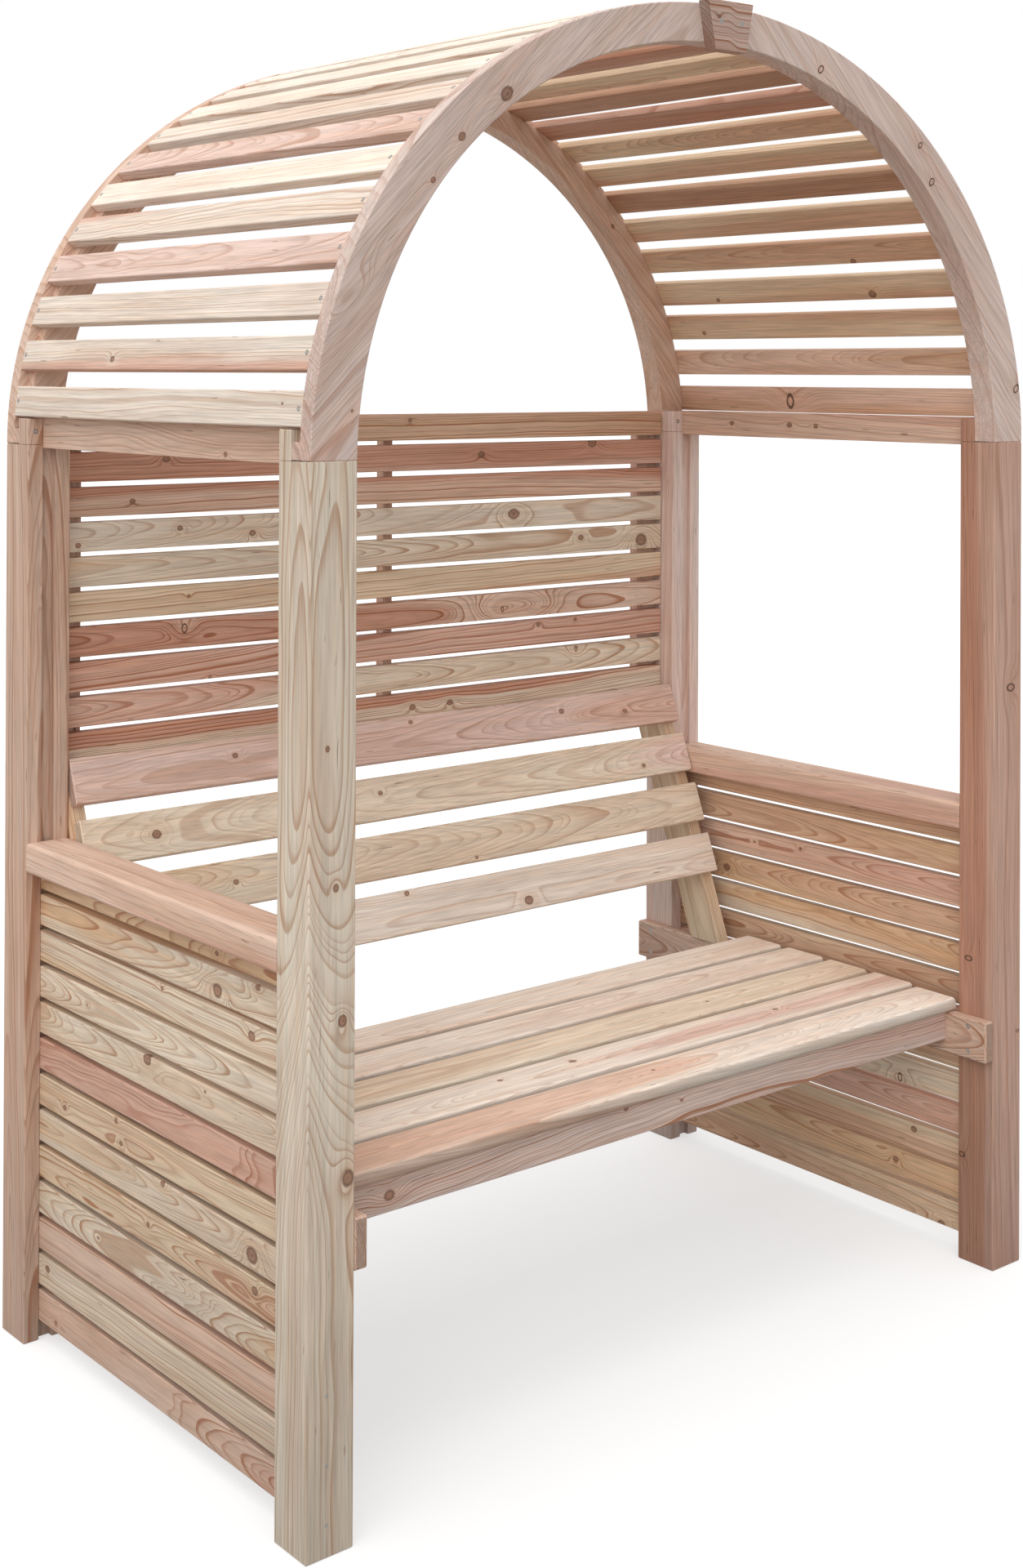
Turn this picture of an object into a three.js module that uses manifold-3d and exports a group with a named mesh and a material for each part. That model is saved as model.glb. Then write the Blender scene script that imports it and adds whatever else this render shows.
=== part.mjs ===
// An arbour seat: a slatted wooden bench between two side panels, under an arched roof of slats.
// Millimetres, +Z up. The origin is on the ground under the middle of the seat. X runs along the
// bench, and Y runs from the open front to the rear.
import * as THREE from 'three';
import { mergeVertices } from 'three/addons/utils/BufferGeometryUtils.js';
import Module from 'manifold-3d';

const wasm = await Module();
wasm.setup();

// Whole seat: over the posts' outer faces, and up to the shoulders that carry the arches
const overallWidth = 1388;
const overallDepth = 812;
const shoulderHeight = 1326;
const clearance = 0.3;
const overrun = 5;

// Posts: square, grooved on the side that faces the other post, with a tongue behind the arch's foot
const postSide = 70;
const tongueThickness = 29;
const tongueHeight = 38;
const grooveDepth = 10;

// Battens: the planed strips used for both panels, the top rails, the back and the apron
const battenWidth = 45;
const battenThickness = 20;
const battenGap = 8.1;

// Arches: half ellipses in two halves each, rebated on the inner edge for the roof slats
const archRise = 630;
const archCrownDepth = 55;
const rebateWidth = 17;
const rebateStart = 23;
const archSteps = 26;

// Keystones
const keystoneTopWidth = 88;
const keystoneFootWidth = 61;
const keystoneThickness = 22;
const keystoneLift = 2;
const keystoneDrop = 13;

// Roof slats
const roofSlatCount = 29;
const roofSlatWidth = 45;
const roofSlatThickness = 16;
const roofStartGap = 1;

// Side panels and armrests
const panelGroundGap = 30;
const armrestUnderside = 694;
const armrestThickness = 43.5;
const armrestEdgeRadius = 5;
const panelTieDepth = 3;

// Seat
const seatHeight = 421;
const seatBoardCount = 5;
const seatBoardWidth = 88;
const seatBoardThickness = 21;
const seatBoardGap = 11;
const seatEdgeRadius = 6;
const seatFrontSetback = 72;
const frontBoardEndGap = 2;
const seatBoardEndGap = 16;
const bearerHeight = 65;
const apronSetback = 80;

// Backrest: boards on two leaning uprights
const backrestLeanDegrees = 21.25;
const backrestSetback = 194;
const backrestRise = 107;
const backrestBoardCount = 4;
const backrestBoardWidth = 70;
const backrestBoardThickness = 20.5;
const backrestBoardGap = 23.3;
const backrestEndGap = 1.5;
const uprightWidth = 24;
const uprightDepth = 70;

// Screws: their shanks are joined to the piece that they pass through, and bite into the next one
const screwRadius = 2.2;
const screwBite = 30;
const screwEdge = 13;
const keystoneScrewSpread = 20;
const screwSides = 8;

// Straight pieces in a rounded edge
const edgeSegments = 3;

// Places worked out from those sizes
const halfWidth = overallWidth / 2;
const halfDepth = overallDepth / 2;
const postCentreX = halfWidth - postSide / 2;
const postCentreY = halfDepth - postSide / 2;
const innerX = halfWidth - postSide;
const innerY = halfDepth - postSide;
const archThickness = postSide - tongueThickness;
const grooveWidth = battenThickness + 2 * clearance;
const housedY = innerY + grooveDepth - clearance;
const battenPitch = battenWidth + battenGap;
const railTop = shoulderHeight + tongueHeight;
const bearerTop = seatHeight - seatBoardThickness;
const backrestLean = THREE.MathUtils.degToRad(backrestLeanDegrees);
const backrestPitch = backrestBoardWidth + backrestBoardGap;
const backrestReach = backrestPitch * (backrestBoardCount - 1) + backrestBoardWidth;
const backrestFoot = seatHeight + backrestRise;
const backrestTop = backrestFoot + backrestReach * Math.cos(backrestLean);

// The back panel's battens go down from the top rail's height until one covers the backrest's top
const backSlatCount = 1 + Math.ceil((railTop - battenWidth - backrestTop) / battenPitch);
const backPanelFoot = railTop - (backSlatCount - 1) * battenPitch - battenWidth;
const tongueScrewOffset = (grooveWidth / 2 + postSide / 2) / 2;

// Materials: pale planed softwood, some pieces pinker than others
const wood = (name, color, roughness) => new THREE.MeshStandardMaterial({
  name, color, roughness, metalness: 0,
});
const creamWood = wood('cream_softwood', 0xd8bd92, 0.62);
const pinkWood = wood('pink_softwood', 0xc99e80, 0.62);

// Two places along an axis, the smaller one first
const inOrder = (one, other) => [Math.min(one, other), Math.max(one, other)];

// Turns a closed geometry into a solid that can be cut or joined
function solidOf(geometry) {
  const bare = geometry.clone();
  bare.deleteAttribute('normal');
  bare.deleteAttribute('uv');
  const merged = mergeVertices(bare);
  return new wasm.Manifold(new wasm.Mesh({
    numProp: 3,
    vertProperties: new Float32Array(merged.attributes.position.array),
    triVerts: new Uint32Array(merged.index.array),
  }));
}

function geometryOf(solid) {
  const mesh = solid.getMesh();
  const geometry = new THREE.BufferGeometry();
  geometry.setAttribute('position', new THREE.BufferAttribute(new Float32Array(mesh.vertProperties), 3));
  geometry.setIndex(new THREE.BufferAttribute(new Uint32Array(mesh.triVerts), 1));
  return geometry;
}

// Several geometries that touch or cross, joined into one solid's geometry
function joined(geometries) {
  return geometryOf(geometries.map(solidOf).reduce((whole, piece) => whole.add(piece)));
}

function outlineOf(points) {
  return new THREE.Shape(points.map(([x, y]) => new THREE.Vector2(x, y)));
}

// An outline in X and Z, run along Y from front to rear
function extrudeAlongY(shape, front, rear) {
  const geometry = new THREE.ExtrudeGeometry(shape, {
    depth: rear - front, bevelEnabled: false, curveSegments: edgeSegments,
  });
  geometry.rotateX(Math.PI / 2);
  return geometry.translate(0, rear, 0);
}

// An outline in Y and Z, run along X from left to right
function extrudeAlongX(shape, left, right) {
  const geometry = new THREE.ExtrudeGeometry(shape, {
    depth: right - left, bevelEnabled: false, curveSegments: edgeSegments,
  });
  geometry.applyMatrix4(new THREE.Matrix4().makeBasis(
    new THREE.Vector3(0, 1, 0), new THREE.Vector3(0, 0, 1), new THREE.Vector3(1, 0, 0),
  ));
  return geometry.translate(left, 0, 0);
}

function extrudeUp(shape, bottom, top) {
  const geometry = new THREE.ExtrudeGeometry(shape, { depth: top - bottom, bevelEnabled: false });
  return geometry.translate(0, 0, bottom);
}

// A box between two opposite corners. The first corner is the left, front and bottom one.
function boxBetween([left, front, bottom], [right, rear, top]) {
  const geometry = new THREE.BoxGeometry(right - left, rear - front, top - bottom);
  return geometry.translate((left + right) / 2, (front + rear) / 2, (bottom + top) / 2);
}

// A rectangle between two corners, with its four corners rounded
function roundedRectangle([left, bottom], [right, top], radius) {
  const shape = new THREE.Shape();
  shape.absarc(right - radius, bottom + radius, radius, -Math.PI / 2, 0);
  shape.absarc(right - radius, top - radius, radius, 0, Math.PI / 2);
  shape.absarc(left + radius, top - radius, radius, Math.PI / 2, Math.PI);
  shape.absarc(left + radius, bottom + radius, radius, Math.PI, Math.PI * 1.5);
  return shape;
}

// A screw's shank from a point on the face where it leaves its own piece, along a direction. It starts
// a little behind that face. The hole for it is the same shank with a clearance all round.
function shank(point, direction, spare) {
  const radius = screwRadius + spare;
  const length = overrun + screwBite + spare;
  const geometry = new THREE.CylinderGeometry(radius, radius, length, screwSides);
  geometry.translate(0, length / 2 - overrun, 0);
  const turn = new THREE.Quaternion().setFromUnitVectors(new THREE.Vector3(0, 1, 0), direction);
  return geometry.applyQuaternion(turn).translate(...point);
}

const shankSolid = (point, direction) => solidOf(shank(point, direction, 0));
const holeSolid = (point, direction) => solidOf(shank(point, direction, clearance));
const towardsRear = new THREE.Vector3(0, 1, 0);
const towardsFront = new THREE.Vector3(0, -1, 0);

function addMesh(parent, name, geometry, material) {
  const mesh = new THREE.Mesh(geometry, material);
  mesh.name = name;
  parent.add(mesh);
  return mesh;
}

// The four post places: name, side along X, and whether the post is a rear one
const corners = [
  { name: 'front_left', side: -1, rear: false },
  { name: 'front_right', side: 1, rear: false },
  { name: 'rear_left', side: -1, rear: true },
  { name: 'rear_right', side: 1, rear: true },
];

// A post stands about its own foot's centre, with the groove and the tongue on its +Y side, and two
// screws through the tongue. The rear posts are the same post turned half way round.
function postSolid() {
  const half = postSide / 2;
  const groove = grooveWidth / 2;
  const tongueFront = half - tongueThickness;
  const plan = (front) => outlineOf([
    [-half, front], [half, front], [half, half], [groove, half],
    [groove, half - grooveDepth], [-groove, half - grooveDepth], [-groove, half], [-half, half],
  ]);
  const shaft = solidOf(extrudeUp(plan(-half), 0, shoulderHeight));
  let post = shaft.add(solidOf(extrudeUp(plan(tongueFront), shoulderHeight, railTop)));
  for (const offset of [-tongueScrewOffset, tongueScrewOffset]) {
    const point = [offset, tongueFront, shoulderHeight + tongueHeight / 2];
    post = post.add(shankSolid(point, towardsFront));
  }
  return post;
}

// Where a bearer's screws enter the post beside it: two, one above the other
function bearerScrewPlaces(side, rear) {
  const heights = [bearerTop - screwEdge, bearerTop - bearerHeight + screwEdge];
  return heights.map((z) => [side * innerX, rear ? postCentreY : -postCentreY, z]);
}

function addPosts(parent) {
  for (const { name, side, rear } of corners) {
    const turn = rear ? Math.PI : 0;
    const place = [side * postCentreX, rear ? postCentreY : -postCentreY, 0];
    let post = postSolid();
    for (const point of bearerScrewPlaces(side, rear)) {
      const hole = shank(point, new THREE.Vector3(side, 0, 0), clearance);
      hole.translate(-place[0], -place[1], 0).rotateZ(-turn);
      post = post.subtract(solidOf(hole));
    }
    const mesh = addMesh(parent, `${name}_post`, geometryOf(post), pinkWood);
    mesh.position.set(...place);
    mesh.rotation.z = turn;
  }
}

// The arch's curves in X and Z, measured from the springing line. The outer edge is a quarter of an
// ellipse; a curve set in by a depth follows it along its normals.
const outerEdge = new THREE.EllipseCurve(0, 0, halfWidth, archRise, 0, Math.PI / 2);
const innerEdge = new THREE.EllipseCurve(0, 0, innerX, archRise - archCrownDepth, 0, Math.PI / 2);
const quarterLength = outerEdge.getLength();
const rebateDepth = roofSlatThickness + clearance;

function outerPoint(share, depth) {
  const point = outerEdge.getPointAt(share);
  const tangent = outerEdge.getTangentAt(share);
  const crown = share === 1;
  if (crown) return [0, point.y - depth];
  return [point.x - tangent.y * depth, point.y + tangent.x * depth];
}

function archCurve(from, depth) {
  const points = [];
  for (let i = 0; i <= archSteps; i += 1) points.push(outerPoint(from + (1 - from) * i / archSteps, depth));
  return points;
}

function innerCurve() {
  const points = innerEdge.getSpacedPoints(archSteps).map(({ x, y }) => [x, y]);
  points[archSteps] = [0, archRise - archCrownDepth];
  return points.reverse();
}

const keystoneScrewPlace = (side) => [side * keystoneScrewSpread, 0, archRise - archCrownDepth / 2];

// One half of an arch. Its outer face is at y = 0 and it is archThickness deep. side is 1 for the
// half on the +X side.
function archHalfGeometry(side) {
  const mirrored = (points) => outlineOf(points.map(([x, z]) => [side * x, z]));
  const fullEdge = archCurve(0, 0);
  const stepShare = rebateStart / quarterLength;
  const steppedEdge = [outerPoint(0, 0), outerPoint(stepShare, 0), ...archCurve(stepShare, rebateDepth)];
  const rebateFace = archThickness - rebateWidth;
  const outerStrip = extrudeAlongY(mirrored([...fullEdge, ...innerCurve()]), 0, rebateFace);
  const innerStrip = extrudeAlongY(mirrored([...steppedEdge, ...innerCurve()]), rebateFace, archThickness);
  let half = solidOf(outerStrip).add(solidOf(innerStrip));
  for (const offset of [-tongueScrewOffset, tongueScrewOffset]) {
    const point = [side * (postCentreX + offset), archThickness, tongueHeight / 2];
    half = half.subtract(holeSolid(point, towardsFront));
  }
  return geometryOf(half.subtract(holeSolid(keystoneScrewPlace(side), towardsRear)));
}

function keystoneGeometry() {
  const foot = archRise - archCrownDepth - keystoneDrop;
  const top = archRise + keystoneLift;
  const outline = outlineOf([
    [-keystoneFootWidth / 2, foot], [keystoneFootWidth / 2, foot],
    [keystoneTopWidth / 2, top], [-keystoneTopWidth / 2, top],
  ]);
  let keystone = solidOf(extrudeAlongY(outline, -keystoneThickness, 0));
  for (const side of [-1, 1]) keystone = keystone.add(shankSolid(keystoneScrewPlace(side), towardsRear));
  return geometryOf(keystone);
}

// Both arches are built alike, each in a group on the springing line; the rear one is turned round
function addArches(parent) {
  for (const rear of [false, true]) {
    const end = rear ? 'rear' : 'front';
    const arch = new THREE.Group();
    arch.position.set(0, rear ? halfDepth : -halfDepth, shoulderHeight);
    arch.rotation.z = rear ? Math.PI : 0;
    for (const side of [-1, 1]) {
      const onLeft = rear ? side > 0 : side < 0;
      addMesh(arch, `${end}_arch_${onLeft ? 'left' : 'right'}`, archHalfGeometry(side), pinkWood);
    }
    addMesh(arch, `${end}_keystone`, keystoneGeometry(), creamWood);
    parent.add(arch);
  }
}

// Roof slats lie flat on the rebates, spaced evenly along the outer edge from one foot to the other.
// The first one clears the tongue's top, with an allowance for the tilt of its lower edge.
const footRadius = archRise ** 2 / halfWidth;
const footTilt = (tongueHeight + roofSlatWidth) / footRadius;
const roofStart = tongueHeight + roofStartGap + roofSlatThickness * footTilt;
const roofSlatHalfLength = halfDepth - archThickness + rebateWidth - clearance;
const wholeEdge = new THREE.EllipseCurve(0, shoulderHeight, halfWidth, archRise, Math.PI, 0, true);

function addRoof(parent) {
  const half = roofSlatWidth / 2;
  const first = roofStart + half;
  const travel = wholeEdge.getLength() - 2 * first;
  for (let i = 0; i < roofSlatCount; i += 1) {
    const share = (first + travel * i / (roofSlatCount - 1)) / wholeEdge.getLength();
    const point = wholeEdge.getPointAt(share);
    const tangent = wholeEdge.getTangentAt(share);
    const slat = boxBetween(
      [-half, -roofSlatHalfLength, -roofSlatThickness], [half, roofSlatHalfLength, 0],
    );
    const mesh = addMesh(parent, `roof_slat_${String(i + 1).padStart(2, '0')}`, slat, creamWood);
    mesh.position.set(point.x, 0, point.y);
    mesh.rotation.y = -Math.atan2(tangent.y, tangent.x);
  }
}

// A side panel: battens housed in the posts' grooves, an armrest over them and a rail at the top. The
// battens are one node, joined by a thin tie at the bottom of each groove.
function addSidePanel(parent, name, side) {
  const panel = new THREE.Group();
  panel.position.x = side * postCentreX;
  const half = battenThickness / 2;
  const slats = [];
  for (let bottom = panelGroundGap; bottom < armrestUnderside; bottom += battenPitch) {
    const top = Math.min(bottom + battenWidth, armrestUnderside);
    slats.push(boxBetween([-half, -housedY, bottom], [half, housedY, top]));
  }
  const ties = [-1, 1].map((end) => {
    const [front, rear] = inOrder(end * housedY, end * (housedY - panelTieDepth));
    return boxBetween([-half, front, panelGroundGap], [half, rear, armrestUnderside]);
  });
  addMesh(panel, `${name}_side_slats`, joined([...slats, ...ties]), creamWood);
  const armrest = roundedRectangle(
    [-postSide / 2, armrestUnderside], [postSide / 2, armrestUnderside + armrestThickness],
    armrestEdgeRadius,
  );
  const armrestGeometry = geometryOf(solidOf(extrudeAlongY(armrest, -innerY, innerY)));
  addMesh(panel, `${name}_armrest`, armrestGeometry, pinkWood);
  const rail = boxBetween([-half, -housedY, railTop - battenWidth], [half, housedY, railTop]);
  addMesh(panel, `${name}_top_rail`, rail, pinkWood);
  parent.add(panel);
}

// The back panel, one node: battens from post to post, fixed to three upright battens whose backs are
// flush with the posts' backs. The battens' ends clear the arch, which curves in above the shoulders.
function addBackPanel(parent) {
  const archInnerX = innerX * Math.sqrt(1 - (tongueHeight / (archRise - archCrownDepth)) ** 2);
  const end = archInnerX - clearance;
  const rear = halfDepth - battenThickness;
  const front = rear - battenThickness;
  const pieces = [];
  for (let i = 0; i < backSlatCount; i += 1) {
    const top = railTop - i * battenPitch;
    pieces.push(boxBetween([-end, front, top - battenWidth], [end, rear, top]));
  }
  const uprightBattens = [
    [-innerX, -innerX + battenWidth],
    [-battenThickness / 2, battenThickness / 2],
    [innerX - battenWidth, innerX],
  ];
  for (const [left, right] of uprightBattens) {
    pieces.push(boxBetween([left, rear, backPanelFoot], [right, halfDepth, shoulderHeight]));
  }
  addMesh(parent, 'back_panel', joined(pieces), creamWood);
}

// The seat: boards across two bearers that are screwed to the posts, with an apron under the front
function addSeat(parent) {
  const boardPitch = seatBoardWidth + seatBoardGap;
  const panelInnerX = postCentreX - battenThickness / 2;
  for (let i = 0; i < seatBoardCount; i += 1) {
    const front = -halfDepth + seatFrontSetback + i * boardPitch;
    const section = roundedRectangle([front, bearerTop], [front + seatBoardWidth, seatHeight], seatEdgeRadius);
    const end = i === 0 ? innerX - frontBoardEndGap : panelInnerX - seatBoardEndGap;
    const board = geometryOf(solidOf(extrudeAlongX(section, -end, end)));
    addMesh(parent, `seat_board_${i + 1}`, board, creamWood);
  }
  for (const side of [-1, 1]) {
    const outward = new THREE.Vector3(side, 0, 0);
    const [left, right] = inOrder(side * innerX, side * (innerX - battenThickness));
    let bearer = solidOf(boxBetween(
      [left, -halfDepth, bearerTop - bearerHeight], [right, halfDepth, bearerTop],
    ));
    for (const rear of [false, true]) {
      for (const point of bearerScrewPlaces(side, rear)) bearer = bearer.add(shankSolid(point, outward));
    }
    addMesh(parent, `${side < 0 ? 'left' : 'right'}_seat_bearer`, geometryOf(bearer), pinkWood);
  }
  const apronFront = -halfDepth + apronSetback;
  const apronX = innerX - battenThickness;
  const apron = boxBetween(
    [-apronX, apronFront, bearerTop - battenWidth], [apronX, apronFront + battenThickness, bearerTop],
  );
  addMesh(parent, 'seat_apron', apron, pinkWood);
}

// The backrest: its boards are in a group that leans back about the lowest board's front edge
function addBackrest(parent) {
  const backrest = new THREE.Group();
  const footY = halfDepth - backrestSetback;
  backrest.position.set(0, footY, backrestFoot);
  backrest.rotation.x = -backrestLean;
  const end = innerX - backrestEndGap;
  for (let i = 0; i < backrestBoardCount; i += 1) {
    const board = boxBetween(
      [-end, 0, i * backrestPitch], [end, backrestBoardThickness, i * backrestPitch + backrestBoardWidth],
    );
    addMesh(backrest, `backrest_board_${i + 1}`, board, creamWood);
  }
  parent.add(backrest);

  // The uprights lean the same way behind the boards. Their feet are cut level on the bearers, their
  // backs flush with the posts, and their tops just under the back panel.
  const reach = seatHeight + backrestPitch * backrestBoardCount;
  const behind = backrestBoardThickness + clearance;
  for (const side of [-1, 1]) {
    const [left, right] = inOrder(side * innerX, side * (innerX - uprightWidth));
    const leaning = boxBetween([left, behind, -reach], [right, behind + uprightDepth, reach]);
    leaning.rotateX(-backrestLean).translate(0, footY, backrestFoot);
    const room = boxBetween([left, 0, bearerTop], [right, halfDepth, backPanelFoot - clearance]);
    const upright = geometryOf(solidOf(leaning).intersect(solidOf(room)));
    addMesh(parent, `${side < 0 ? 'left' : 'right'}_backrest_upright`, upright, creamWood);
  }
}

const arbourSeat = new THREE.Group();
addPosts(arbourSeat);
addArches(arbourSeat);
addRoof(arbourSeat);
addSidePanel(arbourSeat, 'left', -1);
addSidePanel(arbourSeat, 'right', 1);
addBackPanel(arbourSeat);
addSeat(arbourSeat);
addBackrest(arbourSeat);

export default arbourSeat;
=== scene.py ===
"""An arbour seat in planed larch: a slatted bench between two side panels, under an arched roof.

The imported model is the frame. Each of its nodes is replaced here by the timbers that it stands for,
with eased edges, wood figure, knots and screw heads. Metres, +Z up, the open front towards -Y.
"""
import math

import bpy
import numpy as np
from mathutils import Matrix, Vector


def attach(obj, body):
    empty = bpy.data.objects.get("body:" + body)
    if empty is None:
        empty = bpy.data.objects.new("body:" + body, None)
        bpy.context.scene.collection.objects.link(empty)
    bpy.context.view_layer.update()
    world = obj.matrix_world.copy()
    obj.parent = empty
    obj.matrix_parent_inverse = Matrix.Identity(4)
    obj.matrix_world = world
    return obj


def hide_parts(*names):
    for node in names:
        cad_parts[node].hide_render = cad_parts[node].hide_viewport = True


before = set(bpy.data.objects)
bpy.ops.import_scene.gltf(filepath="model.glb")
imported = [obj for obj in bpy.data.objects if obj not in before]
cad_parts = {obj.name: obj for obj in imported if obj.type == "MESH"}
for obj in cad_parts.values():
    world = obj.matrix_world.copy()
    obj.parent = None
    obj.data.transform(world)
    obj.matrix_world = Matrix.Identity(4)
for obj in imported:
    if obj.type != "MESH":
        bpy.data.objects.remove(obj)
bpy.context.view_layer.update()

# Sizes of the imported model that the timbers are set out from
HALF_WIDTH = 0.694
HALF_DEPTH = 0.406
SHOULDER = 1.326
CLEARANCE = 0.0003
POST = 0.070
TONGUE_THICKNESS = 0.029
TONGUE_HEIGHT = 0.038
GROOVE_WIDTH = 0.0206
GROOVE_DEPTH = 0.010

ARCH_RISE = 0.630
ARCH_CROWN_DEPTH = 0.055
REBATE_WIDTH = 0.017
REBATE_START = 0.023
KEYSTONE_THICKNESS = 0.022
KEYSTONE_HALF_FOOT = 0.0305
KEYSTONE_HALF_TOP = 0.044
KEYSTONE_BELOW_ARCH = 0.013
KEYSTONE_ABOVE_ARCH = 0.002
ROOF_SLATS = 29
SLAT_WIDTH = 0.045
SLAT_THICKNESS = 0.016
SLAT_GAP = 0.001

BATTEN_WIDTH = 0.045
BATTEN_THICKNESS = 0.020
BATTEN_PITCH = 0.0531
LOWEST_BATTEN = 0.030
BACK_BATTENS = 10
ARMREST_UNDERSIDE = 0.694
ARMREST_THICKNESS = 0.0435

SEAT_HEIGHT = 0.421
SEAT_WIDTH = 0.088
SEAT_THICKNESS = 0.021
SEAT_PITCH = 0.099
SEAT_SETBACK = 0.072
SEAT_POST_GAP = 0.002
SEAT_PANEL_GAP = 0.016
BEARER_WIDTH = 0.065
APRON_SETBACK = 0.090

BACKREST_LEAN = math.radians(21.25)
BACKREST_WIDTH = 0.070
BACKREST_THICKNESS = 0.0205
BACKREST_PITCH = 0.0933
BACKREST_SETBACK = 0.194
BACKREST_RISE = 0.107
BACKREST_END_GAP = 0.0015
LEANING_WIDTH = 0.070
LEANING_THICKNESS = 0.024

POST_X = HALF_WIDTH - POST / 2
POST_Y = HALF_DEPTH - POST / 2
INNER_X = HALF_WIDTH - POST
INNER_Y = HALF_DEPTH - POST
ARCH_THICKNESS = POST - TONGUE_THICKNESS
ARCH_INNER_RISE = ARCH_RISE - ARCH_CROWN_DEPTH
RAIL_TOP = SHOULDER + TONGUE_HEIGHT
HOUSED_Y = INNER_Y + GROOVE_DEPTH - CLEARANCE
BEARER_TOP = SEAT_HEIGHT - SEAT_THICKNESS

# The rails are drawn this much higher, so that no light shows under the lowest roof slats
RAIL_LIFT = 0.0009

# How far the sawn ends are eased, and the least radii, for corners that stay sharp
END_EASE = 0.0008
POST_EASE = 0.0014
SEAT_EASE = 0.0018
BEARER_EASE = 0.0025
BACKREST_EASE = 0.0015
LEAST_RADIUS = 0.0002
SHARP = 0.00002
NO_REBATE = 0.00005

# Radii of the timbers' long edges
SLAT_EDGE = 0.0020
SIDE_BATTEN_EDGE = 0.0017
BACK_BATTEN_EDGE = 0.0016
UPRIGHT_EDGE = 0.0022
ARMREST_EDGE = 0.0055
RAIL_EDGE = 0.0012
KEYSTONE_EDGE = 0.0012
SEAT_EDGE = 0.0075
BEARER_EDGE = 0.0025
APRON_EDGE = 0.0022
BACKREST_EDGE = 0.0028
LEANING_EDGE = 0.0020

X_AXIS, Y_AXIS, Z_AXIS = np.eye(3)


def unit(vectors):
    """Vectors divided by their own lengths."""
    vectors = np.asarray(vectors, float)
    return vectors / np.linalg.norm(vectors, axis=-1, keepdims=True)


def colour(red, green, blue):
    """An opaque colour."""
    return (red, green, blue, 1.0)


# ---- Shapes ----

def eased(corners, radii, steps=3):
    """Closed outlines with each corner rounded.

    At a corner with unit directions a and b to its neighbours and half angle h between them, the
    arc of radius r has its centre r / sin h along the bisector. It runs from r / tan h along a to
    r / tan h along b, as the slerp of the two radii in equal steps.
    """
    corners = np.asarray(corners, float)
    radii = np.broadcast_to(np.asarray(radii, float), corners.shape[:-1])[..., None]
    before = unit(np.roll(corners, 1, axis=-2) - corners)
    after = unit(np.roll(corners, -1, axis=-2) - corners)
    half = np.arccos(np.clip((before * after).sum(-1, keepdims=True), -1, 1)) / 2
    centre = corners + unit(before + after) * radii / np.sin(half)
    start = corners + before * radii / np.tan(half) - centre
    end = corners + after * radii / np.tan(half) - centre
    sweep = (math.pi - 2 * half)[..., None, :]
    share = np.linspace(0, 1, steps + 1)[:, None]
    arc = (np.sin((1 - share) * sweep) * start[..., None, :]
           + np.sin(share * sweep) * end[..., None, :])
    points = centre[..., None, :] + arc / np.sin(sweep)
    return points.reshape(*corners.shape[:-2], -1, 2)


def shrunk(corners, amount):
    """Outlines, anticlockwise, moved inwards: each corner by amount (m + n) / (1 + m . n), where m
    and n are the inward normals of its two edges."""
    corners = np.asarray(corners, float)
    edge = unit(np.roll(corners, -1, axis=-2) - corners)
    normal = np.stack([-edge[..., 1], edge[..., 0]], axis=-1)
    other = np.roll(normal, 1, axis=-2)
    return corners + amount * (normal + other) / (1 + (normal * other).sum(-1, keepdims=True))


def skinned(rings):
    """Closed rings of points joined by quads from ring to ring, with a flat face on each end.

    Returns the points and the faces, turned so that the enclosed volume is positive.
    """
    count, around = rings.shape[:2]
    index = np.arange(count * around).reshape(count, around)
    turned = np.roll(index, -1, axis=1)
    quads = np.stack([index[:-1], turned[:-1], turned[1:], index[1:]], axis=-1).reshape(-1, 4)
    points = rings.reshape(-1, 3)
    first, second, third, fourth = (points[quads[:, i]] for i in range(4))
    cross = np.cross(third - first, fourth - second)
    volume = (cross * (first + second + third + fourth)).sum() / 24
    for ring, sign in ((rings[0], -1), (rings[-1], 1)):
        area = np.cross(ring - ring[0], np.roll(ring, -1, axis=0) - ring[0]).sum(0)
        volume += sign * (area * ring.mean(0)).sum() / 6
    faces = quads.tolist() + [index[0][::-1].tolist(), index[-1].tolist()]
    if volume < 0:
        faces = [face[::-1] for face in faces]
    return points, faces


def set_in(section, radii, stations, ease):
    """The eased section repeated at the stations, with the first and the last one shrunk."""
    full = eased(section, radii)
    small = eased(shrunk(section, ease), np.maximum(np.asarray(radii) - ease, LEAST_RADIUS))
    rings = np.repeat(full[None], len(stations), axis=0)
    rings[0] = small
    rings[-1] = small
    return rings


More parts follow.
